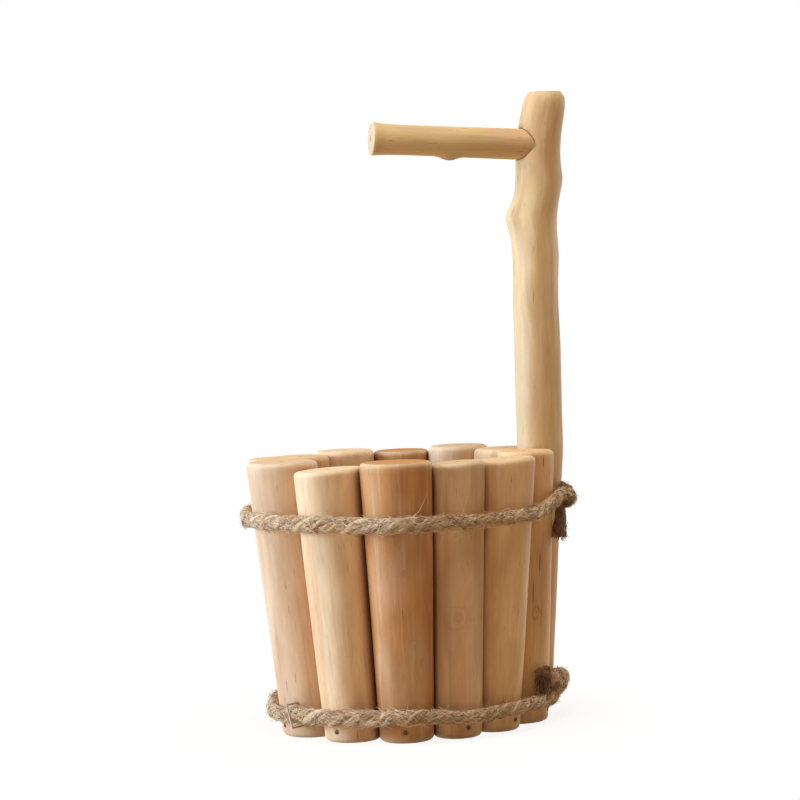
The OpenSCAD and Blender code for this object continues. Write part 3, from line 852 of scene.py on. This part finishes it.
def strand_mesh(line, strands, number, seed):
    """One strand of a rope as a tube: its points, faces, lay, and how much painted shade each point gets in
    the valleys next to the other strands.
    """
    out, up = frames_along(line)
    middle, size = strands[number]
    count = len(line)
    far = np.arange(count) * SAMPLE
    rng = np.random.default_rng(seed * 10 + number)
    angles = 2 * math.pi * np.arange(STRAND_SIDES) / STRAND_SIDES
    yarn = YARNS * angles[None, :] - 2 * math.pi * (far / YARN_TURN)[:, None]
    hair = rng.normal(0, YARN_HAIR, (count, STRAND_SIDES))
    reach = size[:, None] * (1 + YARN_DEPTH * np.cos(yarn) + hair)
    across = reach * line[:, 3:4] * np.cos(angles)
    along_up = reach * line[:, 4:5] * np.sin(angles)
    points = middle[:, None] + across[..., None] * out[:, None] + along_up[..., None] * up[:, None]
    turned = angles[None, :] - (far / YARN_TURN * 2 * math.pi / YARNS)[:, None]
    lay = np.stack([
        np.cos(turned) * LAY_RADIUS + number * LAY_APART, np.repeat(far[:, None], STRAND_SIDES, axis=1),
        np.sin(turned) * LAY_RADIUS], axis=-1)
    # Painted shade where this strand lies close to another one
    valley = np.zeros((count, STRAND_SIDES))
    for other, (its_middle, its_size) in enumerate(strands):
        if other != number:
            its_radius = its_size * line[:, 3:5].mean(1)
            gap = np.linalg.norm(points - its_middle[:, None], axis=2) / its_radius[:, None]
            valley = np.maximum(valley, np.clip((VALLEY_SHADE_FROM - gap) / VALLEY_SHADE_FULL, 0, 1))
    return points.reshape(-1, 3), tube_faces(count, STRAND_SIDES), lay.reshape(-1, 3), valley.ravel()


def singe_along(line, front_share, back_share, front_length, back_length):
    """How dark the rope is at each sample: its tails were dipped."""
    far = np.arange(len(line)) * SAMPLE
    front = np.clip((front_length - far) / SINGE_FADE, 0, 1) * front_share
    back = np.clip((back_length - far[::-1]) / SINGE_FADE, 0, 1) * back_share
    return np.maximum(front, back)


FIBRE_STEPS = 5
FIBRE_SIDES = 3
FIBRE_FACES = tube_faces(FIBRE_STEPS, FIBRE_SIDES)
FIBRE_SEAT = 0.1 * MM
FIBRE_TAPER = 0.7
FIBRES = 6800
FIBRE_ROUND = 2.1
LOOSE_SHARE = 0.15
# The fibres' lifts, lengths and radii in millimetres
LOOSE_LIFT = (0.8, 2.2)
LAID_LIFT = (-0.15, 0.45)
FIBRE_LENGTH = (2.5, 8)
FIBRE_THICK = (0.08, 0.2)
STRAY_THICK = 0.14
TUFT_THICK = (0.15, 0.32)
STRAY_SHADE = 0.6
TUFT_WITHIN = 0.9
TUFT_SHORTEST = 0.6
# A way that no fibre runs
ASIDE = (0.31, 0.17, 0.93)


class Fibres:
    """Loose fibres as fine three-sided tubes that run along the rope's surface and lift off it."""

    def __init__(self, line, singe, seed):
        self.line = line
        self.singe = singe
        self.out, self.up = frames_along(line)
        self.rng = random.Random(seed)
        self.points, self.faces = [], []
        self.dark, self.shade = [], []

    def place(self, k, angle, lift):
        """A point by the rope's surface: sample, way round, and how far off the surface."""
        k = min(max(k, 0), len(self.line) - 1)
        low = min(int(k), len(self.line) - 2)
        share = k - low
        line = self.line[low] * (1 - share) + self.line[low + 1] * share
        reach_out = (line[3] + lift) * math.cos(angle)
        reach_up = (line[4] + lift) * math.sin(angle)
        return line[:3] + self.out[low] * reach_out + self.up[low] * reach_up, low

    def add(self, k, angle, length, slant, lift, drop, thick, shade):
        """One fibre from a sample on, turning round the rope by slant and lifting by lift at its tip."""
        path = []
        for step in range(FIBRE_STEPS):
            share = step / (FIBRE_STEPS - 1)
            sample = k + length / SAMPLE * share
            point, low = self.place(sample, angle + slant * share, FIBRE_SEAT + lift * share)
            path.append(point + np.array([0, 0, drop * share * share]))
        self.tube(path, thick, self.singe[low], shade)

    def tube(self, path, thick, dark, shade):
        self.faces += [face + len(self.points) for face in FIBRE_FACES]
        for step, middle in enumerate(path):
            way = path[min(step + 1, FIBRE_STEPS - 1)] - path[max(step - 1, 0)]
            way = way / np.linalg.norm(way)
            a = np.cross(way, ASIDE)
            a /= np.linalg.norm(a)
            b = np.cross(way, a)
            r = thick * (1 - FIBRE_TAPER * step / (FIBRE_STEPS - 1))
            for s in range(FIBRE_SIDES):
                angle = 2 * math.pi * s / FIBRE_SIDES
                self.points.append(middle + r * (math.cos(angle) * a + math.sin(angle) * b))
                self.dark.append(dark)
                self.shade.append(shade)

    def scatter(self, count):
        rng = self.rng
        for _ in range(count):
            lift = rng.uniform(*(LOOSE_LIFT if rng.random() < LOOSE_SHARE else LAID_LIFT)) * MM
            self.add(
                rng.uniform(2, len(self.line) - 3), rng.uniform(-FIBRE_ROUND, FIBRE_ROUND),
                rng.choice((-1, 1)) * rng.uniform(*FIBRE_LENGTH) * MM, rng.gauss(0, 1.0), lift, 0,
                rng.uniform(*FIBRE_THICK) * MM, rng.random())

    def stray(self, x, angle, length, slant, lift, drop):
        """A long fibre that starts where the rope's front passes x. The sizes are in millimetres."""
        front = self.line[:, 1] < 0
        k = int(np.argmin(np.where(front, abs(self.line[:, 0] - x * MM), 1)))
        self.add(k, angle, length * MM, slant, lift * MM, drop * MM, STRAY_THICK * MM, STRAY_SHADE)

    def tuft(self, first, last, way, count, length, spread):
        """A frayed tail: stiff dark fibres that start between two samples, splayed about a way."""
        rng = self.rng
        for _ in range(count):
            low = rng.randrange(first, last)
            line = self.line[low]
            start = line[:3] + self.out[low] * line[3] * rng.uniform(-TUFT_WITHIN, TUFT_WITHIN)
            start = start + self.up[low] * line[4] * rng.uniform(-TUFT_WITHIN, TUFT_WITHIN)
            aim = np.array([rng.gauss(part, spread) for part in way]) * length * rng.uniform(TUFT_SHORTEST, 1)
            path = [start + aim * step / (FIBRE_STEPS - 1) for step in range(FIBRE_STEPS)]
            self.tube(path, rng.uniform(*TUFT_THICK) * MM, 1, rng.random())


def new_piece(name, points, faces, material):
    mesh = bpy.data.meshes.new(name)
    mesh.from_pydata([tuple(p) for p in points], [], [list(map(int, f)) for f in faces])
    mesh.validate()
    mesh.materials.append(material)
    for face in mesh.polygons:
        face.use_smooth = True
    return add_object(name, mesh)


def lay_rope(name, route, dips, seed, strays, tufts, finishes):
    """A three-strand rope, its loose fibres and the tufts at its tails."""
    line = resampled(route.stations())
    singe = singe_along(line, *dips)
    middles = strand_middles(line, seed)
    strands = [strand_mesh(line, middles, number, seed) for number in range(STRANDS)]
    points, faces, lay, valley = zip(*strands)
    faces = [face + number * len(points[0]) for number in range(STRANDS) for face in faces[number]]
    rope = new_piece(name, np.concatenate(points), faces, finishes[0])
    write(rope, lay=np.concatenate(lay), valley=np.concatenate(valley),
          singe=np.tile(np.repeat(singe, STRAND_SIDES), STRANDS))
    stand_for(rope, "jute", name)
    fibres = Fibres(line, singe, seed)
    fibres.scatter(FIBRES)
    for stray in strays:
        fibres.stray(*stray)
    for tuft in tufts:
        fibres.tuft(*tuft)
    fuzz = new_piece(name + "_fibres", fibres.points, fibres.faces, finishes[1])
    write(fuzz, singe=fibres.dark, shade=fibres.shade)
    stand_for(fuzz, "jute")


# Logs

LOG_SIDES = 72
LOG_CUTS = 70
END_BEVEL = 2.6 * MM
END_INSETS = (2.6 * MM, 3.6 * MM, 2.6 * MM)
# How far the painted shade of a groove reaches from the neighbour on either side, shorter from the left one as
# that flank faces the key lamp, and where it fades below its top
GROOVE_SHADE_REACHES = (1.5 * MM, 2.4 * MM)
GROOVE_SHADE_FADE = 4 * MM
EDGE_REACH = 3.4 * MM
END_LEVEL = 0.93
NAIL_STAIN = 1.3 * MM
LEG_STAIN = 1.2 * MM
# A nail's head sits in a dent
NAIL_DENT = 0.5 * MM
NAIL_DENT_REACH = 2.6 * MM


def finish_log(log, node, slot, tint, end_tint, seed, is_end, **marks):
    """The side finish all over, the end finish on the cut faces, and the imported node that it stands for."""
    log.data.materials.append(wood(node + "_wood", *tint, seed=seed, **marks))
    log.data.materials.append(cut_end(node + "_end", *end_tint, seed=seed))
    for face in log.data.polygons:
        face.material_index = 1 if is_end(face) else 0
    only(log)
    bpy.ops.object.shade_smooth()
    stand_for(log, slot, node)


def cut_stave(upright, name):
    """A tapered log: a cylinder whose top is moved, widened and tilted to its place in the rim."""
    top = upright.top
    foot_x, foot_y, foot_r = upright.at(0)
    rim_x, rim_y, rim_r = upright.at(top)
    rim = (rim_x, rim_y, top)
    log = add_cylinder(name, LOG_SIDES, foot_r, top, (foot_x, foot_y, top / 2))
    with editing(log):
        pick(log, "verts", lambda vert: vert.co.z > top / 2)
        bpy.ops.transform.translate(value=(rim_x - foot_x, rim_y - foot_y, 0))
        bpy.ops.transform.resize(value=(rim_r / foot_r, rim_r / foot_r, 1), center_override=rim)
        bpy.ops.transform.rotate(
            value=math.atan(upright.slope), orient_axis="Y", orient_type="GLOBAL", center_override=rim)
        pick(log, "edges", lambda edge: rise(edge) < top / 2)
        bpy.ops.mesh.bevel(offset=END_BEVEL, segments=6, profile=0.5, affect="EDGES", clamp_overlap=True)
        cut_finer(log, top, LOG_CUTS, END_INSETS)
    return log


def stain_round(points, marks):
    """How near each point is to a nail or a staple's leg."""
    level = np.zeros(len(points))
    for place, reach in marks:
        far = np.linalg.norm(points - place, axis=1)
        level = np.maximum(level, np.exp(-(far / reach) ** 2))
    return level


def groove_shade_between(points, k):
    """How much painted shade each point gets in the grooves between an upright and its two neighbours."""
    level = np.zeros(len(points))
    neighbours = (UPRIGHTS[(k - 1) % len(RING)], UPRIGHTS[(k + 1) % len(RING)])
    for other, reach in zip(neighbours, GROOVE_SHADE_REACHES):
        seen = np.array([other.at(z) for z in points[:, 2]])
        gap = np.linalg.norm(points[:, :2] - seen[:, :2], axis=1) - seen[:, 2]
        near = np.exp(-(np.maximum(gap, 0) / reach) ** 2)
        level = np.maximum(level, near * np.clip((other.top - points[:, 2]) / GROOVE_SHADE_FADE, 0, 1))
    return level


def staple_legs(k):
    """Where the legs of the staples on one upright enter it."""
    legs = []
    upright = UPRIGHTS[k]
    for height, staples in STAPLED.items():
        route = ROUTES[height]
        for slide in [slide for place, slide in staples if place == k]:
            out = heading(route.bend_angle(k, 1 if slide else 0.5))
            across = np.array([-out[1], out[0]])
            for side in (-1, 1):
                z = height - route.sag[k] * MM + side * math.cos(STAPLE_SLANT) * STAPLE_SPAN / 2
                shift = slide - side * math.sin(STAPLE_SLANT) * STAPLE_SPAN / 2
                depth = math.sqrt(upright.radius(z) ** 2 - shift * shift)
                legs.append(np.array([*(upright.middle(z) + out * depth + across * shift), z]))
    return legs


TINTS = {
    "cream": (tone(231, 195, 157), tone(213, 168, 128)),
    "straw": (tone(248, 213, 170), tone(230, 186, 139)),
    "peach": (tone(201, 142, 81), tone(179, 115, 61)),
    "ash": (tone(227, 191, 142), tone(206, 162, 112)),
    "sand": (tone(241, 200, 147), tone(217, 171, 119)),
    "tan": (tone(240, 192, 132), tone(209, 157, 99)),
    "post": (tone(230, 197, 145), tone(208, 164, 112)),
    "handle": (tone(230, 194, 134), tone(212, 172, 112)),
    "handle_end": (tone(220, 190, 152), tone(202, 166, 124)),
}
# From the left round the front, and round the back
RING_TINTS = ["cream", "straw", "peach", "ash", "sand", "tan", "post",
              "sand", "cream", "peach", "straw", "tan", "sand"]
# By place in the ring: way round the log in degrees, height, reach and darkness
STAVE_KNOTS = {
    2: [(-84, 90 * MM, 2 * MM, 0.3)],
    3: [(-88, 64 * MM, 9 * MM, 0.09), (-94, 108 * MM, 1.6 * MM, 0.3)],
    5: [(-62, 60 * MM, 4.5 * MM, 0.3)],
    9: [(95, 70 * MM, 5 * MM, 0.4)],
}
# By place in the ring: way round the log in degrees, height, width and length
STAVE_SLITS = {
    5: [(-53, 141 * MM, 0.45 * MM, 4.5 * MM), (-70, 72 * MM, 0.45 * MM, 8 * MM),
        (-56, 88 * MM, 0.5 * MM, 8 * MM), (-50, 60 * MM, 0.4 * MM, 12 * MM)],
}


def on_log(k, rows):
    """Each mark's way round and height as a place on the skin, seen from the log's middle line."""
    return [((*(UPRIGHTS[k].radius(z) * heading(math.radians(angle))), z), *sizes)
            for angle, z, *sizes in rows.get(k, [])]


def make_stave(k):
    upright = UPRIGHTS[k]
    name = RING[k]
    log = cut_stave(upright, name + "_log")
    weather(log, corners(log)[:, 2], upright.top,
            (k + 1, 0.5 * MM, 16 * MM, 3.5), (k + 40, 0.12 * MM, 4 * MM, 6))
    nail, out = nail_point(upright)
    press(log, nail, tuple(-NAIL_DENT * out), NAIL_DENT_REACH, cuts=2)
    points = corners(log)
    middles = np.array([upright.middle(z) for z in points[:, 2]])
    marks = [(nail, NAIL_STAIN)] + [(leg, LEG_STAIN) for leg in staple_legs(k)]
    top = upright.top + upright.slope * (points[:, 0] - upright.middle(upright.top)[0])
    from_end = np.minimum(points[:, 2], top - points[:, 2])
    write(log, log=np.column_stack([points[:, :2] - middles, points[:, 2]]), stain=stain_round(points, marks),
          groove=groove_shade_between(points, k), edge=np.clip(1 - from_end / EDGE_REACH, 0, 1))
    tint = TINTS[RING_TINTS[k]]
    finish_log(log, name, "stave_wood", tint, tint, k + 1, lambda face: abs(face.normal.z) > END_LEVEL,
               knots=on_log(k, STAVE_KNOTS), slits=on_log(k, STAVE_SLITS))


# The post

POST_SIDES = 72
POST_STEP = 2 * MM
POST_LOOK_OUT = 30 * MM
POST_INSETS = (3 * MM,) * 3
# Heights that agree to this many decimals are one course, and both ends are looked at from just inside
SAME_HEIGHT = 7
LOOK_INSIDE = 0.05 * MM
# Points or radii below these shares of the usual ones belong to the socket
OUTER_SHARE = 0.5
SKIN_SHARE = 0.88
# The post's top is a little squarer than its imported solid
POST_SHOULDER = 7 * MM
SHOULDER_FILL = 0.3
# The shaft is smoothed from this far below the top, fully after the fade
SHAFT_FROM = 4 * MM
SHAFT_FADE = 6 * MM


def skin_course(tree, z):
    """Middle and radii of the post's skin at one height, with the socket's mouth bridged."""
    points = outline_at("post", z)
    far = np.linalg.norm(points, axis=1)
    skin = points[far > np.median(far) * OUTER_SHARE]
    middle = (skin.min(0) + skin.max(0)) / 2
    radii = []
    for s in range(POST_SIDES):
        out = heading(2 * math.pi * s / POST_SIDES)
        start = Vector((*(middle + out * POST_LOOK_OUT), z))
        hit = tree.ray_cast(start, Vector((*-out, 0)), POST_LOOK_OUT)[3]
        radii.append(POST_LOOK_OUT - hit if hit is not None else 0)
    radii = np.array(radii)
    whole = radii > SKIN_SHARE * np.median(radii)
    sides = np.arange(POST_SIDES)
    return middle, np.interp(sides, sides[whole], radii[whole], period=POST_SIDES)


def make_post():
    """The natural stick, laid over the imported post's skin course by course."""
    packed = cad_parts["post"].data
    tree = BVHTree.FromPolygons([v.co for v in packed.vertices], [p.vertices for p in packed.polygons])
    foot_r = UPRIGHTS[POST_INDEX].radius(0)
    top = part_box("post")[1].z
    post = add_cylinder("post_log", POST_SIDES, foot_r, top, (0, 0, top / 2))
    with editing(post):
        cut_finer(post, top, int(top / POST_STEP), POST_INSETS)
    points = corners(post)
    heights = np.unique(np.round(points[:, 2], SAME_HEIGHT))
    courses = {z: skin_course(tree, min(max(z, LOOK_INSIDE), top - LOOK_INSIDE)) for z in heights}
    shoulder_z = heights[heights < top - POST_SHOULDER].max()
    shoulder = courses[shoulder_z][1]
    moved = []
    for x, y, z in points:
        middle, radii = courses[np.round(z, SAME_HEIGHT)]
        side = (math.atan2(y, x) / (2 * math.pi) * POST_SIDES) % POST_SIDES
        if z > shoulder_z:
            radii = radii + (shoulder - radii) * SHOULDER_FILL
        r = np.interp(side, np.arange(POST_SIDES + 1), np.append(radii, radii[0]))
        share = math.hypot(x, y) / foot_r
        moved.append((*(middle + heading(math.atan2(y, x)) * r * share), z))
    move_corners(post, moved)
    shaft = post.vertex_groups.new(name="shaft")
    for vertex in post.data.vertices:
        weight = (top - vertex.co.z - SHAFT_FROM) / SHAFT_FADE
        shaft.add([vertex.index], min(max(weight, 0), 1), "REPLACE")
    apply_modifier(post, "SMOOTH", factor=0.5, iterations=1)
    apply_modifier(post, "SMOOTH", factor=0.5, iterations=5, vertex_group="shaft")
    weather(post, corners(post)[:, 2], top, (7, 0.5 * MM, 15 * MM, 4), (47, 0.16 * MM, 3.5 * MM, 7))
    return post, courses


def bore_socket(post, peg):
    """Cuts the handle's socket into the post, a hair wider than the handle, so that a seam shows."""
    drill = add_cylinder(
        "socket_drill", HANDLE_SIDES, peg.start_r + SEAM, peg.length, peg.at(0.5 * peg.length),
        peg.turn().to_euler())
    apply_modifier(post, "BOOLEAN", object=drill, operation="DIFFERENCE", solver="EXACT")
    bpy.data.objects.remove(drill)


def finish_post(post, courses, peg):
    heights = np.array(sorted(courses))
    middles = np.array([courses[z][0] for z in heights])
    points = corners(post)
    x, y = [np.interp(points[:, 2], heights, middle) for middle in middles.T]
    nail, _ = nail_point(UPRIGHTS[POST_INDEX])
    write(post, log=np.column_stack([points[:, 0] - x, points[:, 1] - y, points[:, 2]]),
          stain=stain_round(points, [(nail, NAIL_STAIN)]), groove=groove_shade_between(points, POST_INDEX),
          edge=np.zeros(len(points)))
    finish_log(post, "post", "post_wood", TINTS["post"], TINTS["post"], 7,
               lambda face: face.normal.z < -0.9 and face.center.z < 1 * MM,
               streak=0.8, joint=(tuple(peg.start), tuple(peg.way), peg.start_r))


# The handle

HANDLE_SIDES = 64
HANDLE_CUTS = 64
HANDLE_BEVEL = 1.1 * MM
HANDLE_INSETS = (2 * MM,) * 3
HANDLE_EDGE = 2.4 * MM
SEAM = 0.35 * MM
# The handle's own profile: how far its shoulder, waist and flare lie from the ends, and the waist's share
SHOULDER_FAR = 15.7 * MM
WAIST_BACK = 18 * MM
FLARE_BACK = 7 * MM
WAIST_SHARE = 0.965
# Ever thinner slices at the peg's two ends, by which its middle line is found, and those that give its radii
PEG_SLICES = (1.5 * MM, 0.5 * MM, 0.2 * MM)
START_SLICE = 0.3 * MM
END_SLICE = 1.2 * MM
HANDLE_KNOT_FAR = 53 * MM
HANDLE_KNOT = (4.5 * MM, 0.35)
KNOT_RISE = 2 * MM
KNOT_REACH = 8.5 * MM


class Peg:
    """The handle's middle line and radii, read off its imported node."""

    def __init__(self):
        points = np.array([v.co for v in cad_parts["handle"].data.vertices])
        way = -np.array([*UPRIGHTS[POST_INDEX].middle(LOOK_HIGH), 0])
        for slack in PEG_SLICES:
            along = points @ (way / np.linalg.norm(way))
            first = points[along < along.min() + slack]
            last = points[along > along.max() - slack]
            self.start = (first.max(0) + first.min(0)) / 2
            way = (last.max(0) + last.min(0)) / 2 - self.start
        self.length = np.linalg.norm(way)
        self.way = way / self.length
        off = points - self.start
        along = off @ self.way
        far = np.linalg.norm(off - along[:, None] * self.way, axis=1)
        self.start_r = far[along < START_SLICE].max()
        self.end_r = far[along > self.length - END_SLICE].max()

    def at(self, along):
        return self.start + self.way * along

    def radius(self, along):
        """Straight tenon, slight waist, and a flare at the free end."""
        places = [SHOULDER_FAR, self.length - WAIST_BACK, self.length - FLARE_BACK, self.length]
        radii = [self.start_r, self.start_r * WAIST_SHARE, self.start_r, self.end_r]
        return np.interp(along, places, radii)

    def turn(self):
        return Vector(self.way).to_track_quat("Z", "Y")


def make_handle(peg):
    """The peg is shaped upright, and then turned and moved into its socket."""
    handle = add_cylinder("handle_peg", HANDLE_SIDES, peg.start_r, peg.length, (0, 0, peg.length / 2))
    with editing(handle):
        pick(handle, "edges", lambda edge: min(v.co.z for v in edge.verts) > peg.length / 2)
        bpy.ops.mesh.bevel(offset=HANDLE_BEVEL, segments=4, profile=0.5, affect="EDGES")
        cut_finer(handle, peg.length, HANDLE_CUTS, HANDLE_INSETS)
    shaped = corners(handle)
    shaped[:, :2] *= (peg.radius(shaped[:, 2]) / peg.start_r)[:, None]
    move_corners(handle, shaped)
    weather(handle, shaped[:, 2], peg.length, (21, 0.3 * MM, 12 * MM, 4), (61, 0.1 * MM, 3 * MM, 7))
    straight = corners(handle)
    handle.rotation_mode = "QUATERNION"
    handle.rotation_quaternion = peg.turn()
    handle.location = peg.start
    set_in_place(handle)
    below = peg.at(HANDLE_KNOT_FAR) - np.array([0, 0, peg.start_r])
    press(handle, below, (0, 0, -KNOT_RISE), KNOT_REACH)
    clear = np.zeros(len(straight))
    write(handle, log=straight, stain=clear, groove=clear,
          edge=np.clip(1 - (peg.length - straight[:, 2]) / HANDLE_EDGE, 0, 1))
    under = peg.turn().inverted() @ Vector((0, 0, -1))
    knot = ((under.x * peg.start_r, under.y * peg.start_r, HANDLE_KNOT_FAR), *HANDLE_KNOT)
    finish_log(handle, "handle", "handle_wood", TINTS["handle"], TINTS["handle_end"], 21,
               lambda face: abs(face.normal.dot(Vector(peg.way))) > 0.95, streak=0.5, knots=[knot])


# Metal and board

def finish_packed_node(node, finish):
    """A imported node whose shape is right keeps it, and gets its real surface."""
    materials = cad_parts[node].data.materials
    materials.clear()
    materials.append(finish)


# The scene

place_camera()
make_floor()
light_the_world()
for lamp in LAMPS:
    hang_lamp(*lamp)

for k in range(len(RING)):
    if k != POST_INDEX:
        make_stave(k)
peg = Peg()
post, post_courses = make_post()
bore_socket(post, peg)
finish_post(post, post_courses, peg)
make_handle(peg)

# Long loose fibres: where the rope passes x, way round it, length, turn, lift and rise of the tip
UPPER_STRAYS = [
    (1, 0.9, 10, 0.1, 1.5, 11), (27, 0.8, 5, 0.2, 1.5, 10), (31, 0.9, -3, 0.2, 1.2, 8),
    (20, -0.9, -3, -0.2, 1, -8), (26, -0.9, 4, -0.2, 1, -7), (31, -0.9, 2, -0.2, 1, -9),
    (-38, -0.9, 4, -0.2, 1, -4), (-42, 0.9, 6, 0.2, 1.2, 3),
]
LOWER_STRAYS = [
    (-34, 0.9, 2, 0.1, 1, 4), (-3, 0.9, 1, 0.1, 1, 4), (14, 0.9, 5, 0.1, 1, 3), (58, -0.9, 2, -0.1, 1, -5),
]
# The dipped tails: how dark the front and back one are, and how far up
UPPER_DIPS = (0.8, 0.8, 25 * MM, 27 * MM)
LOWER_DIPS = (1, 0.15, 9 * MM, 5 * MM)
# Tufts at the tails: first and last sample, way, fibres, length and spread
UPPER_TUFTS = [(0, 16, (0, -0.1, -1), 170, 2.5 * MM, 0.5), (-8, -1, (0.3, -0.1, 0.3), 90, 3 * MM, 0.5)]
LOWER_TUFTS = [(0, 9, (-0.1, -0.1, -1), 190, 10 * MM, 0.2)]
jute_finishes = (jute("jute"), fibre_wisp("jute_fibres"))
lay_rope("upper_rope", ROUTES[UPPER_ROPE_Z], UPPER_DIPS, 3, UPPER_STRAYS, UPPER_TUFTS, jute_finishes)
lay_rope("lower_rope", ROUTES[LOWER_ROPE_Z], LOWER_DIPS, 5, LOWER_STRAYS, LOWER_TUFTS, jute_finishes)

finish_packed_node("base_board", planed_board("planed_board"))
finish_packed_node("stave_nails", rusted("nail_rust"))
for staples in ("upper_rope_staples", "lower_rope_staples"):
    finish_packed_node(
        staples, steel(staples + "_wire", tone(170, 156, 136), tone(128, 102, 78), 0.6))

bpy.context.scene.view_settings.view_transform = "Standard"
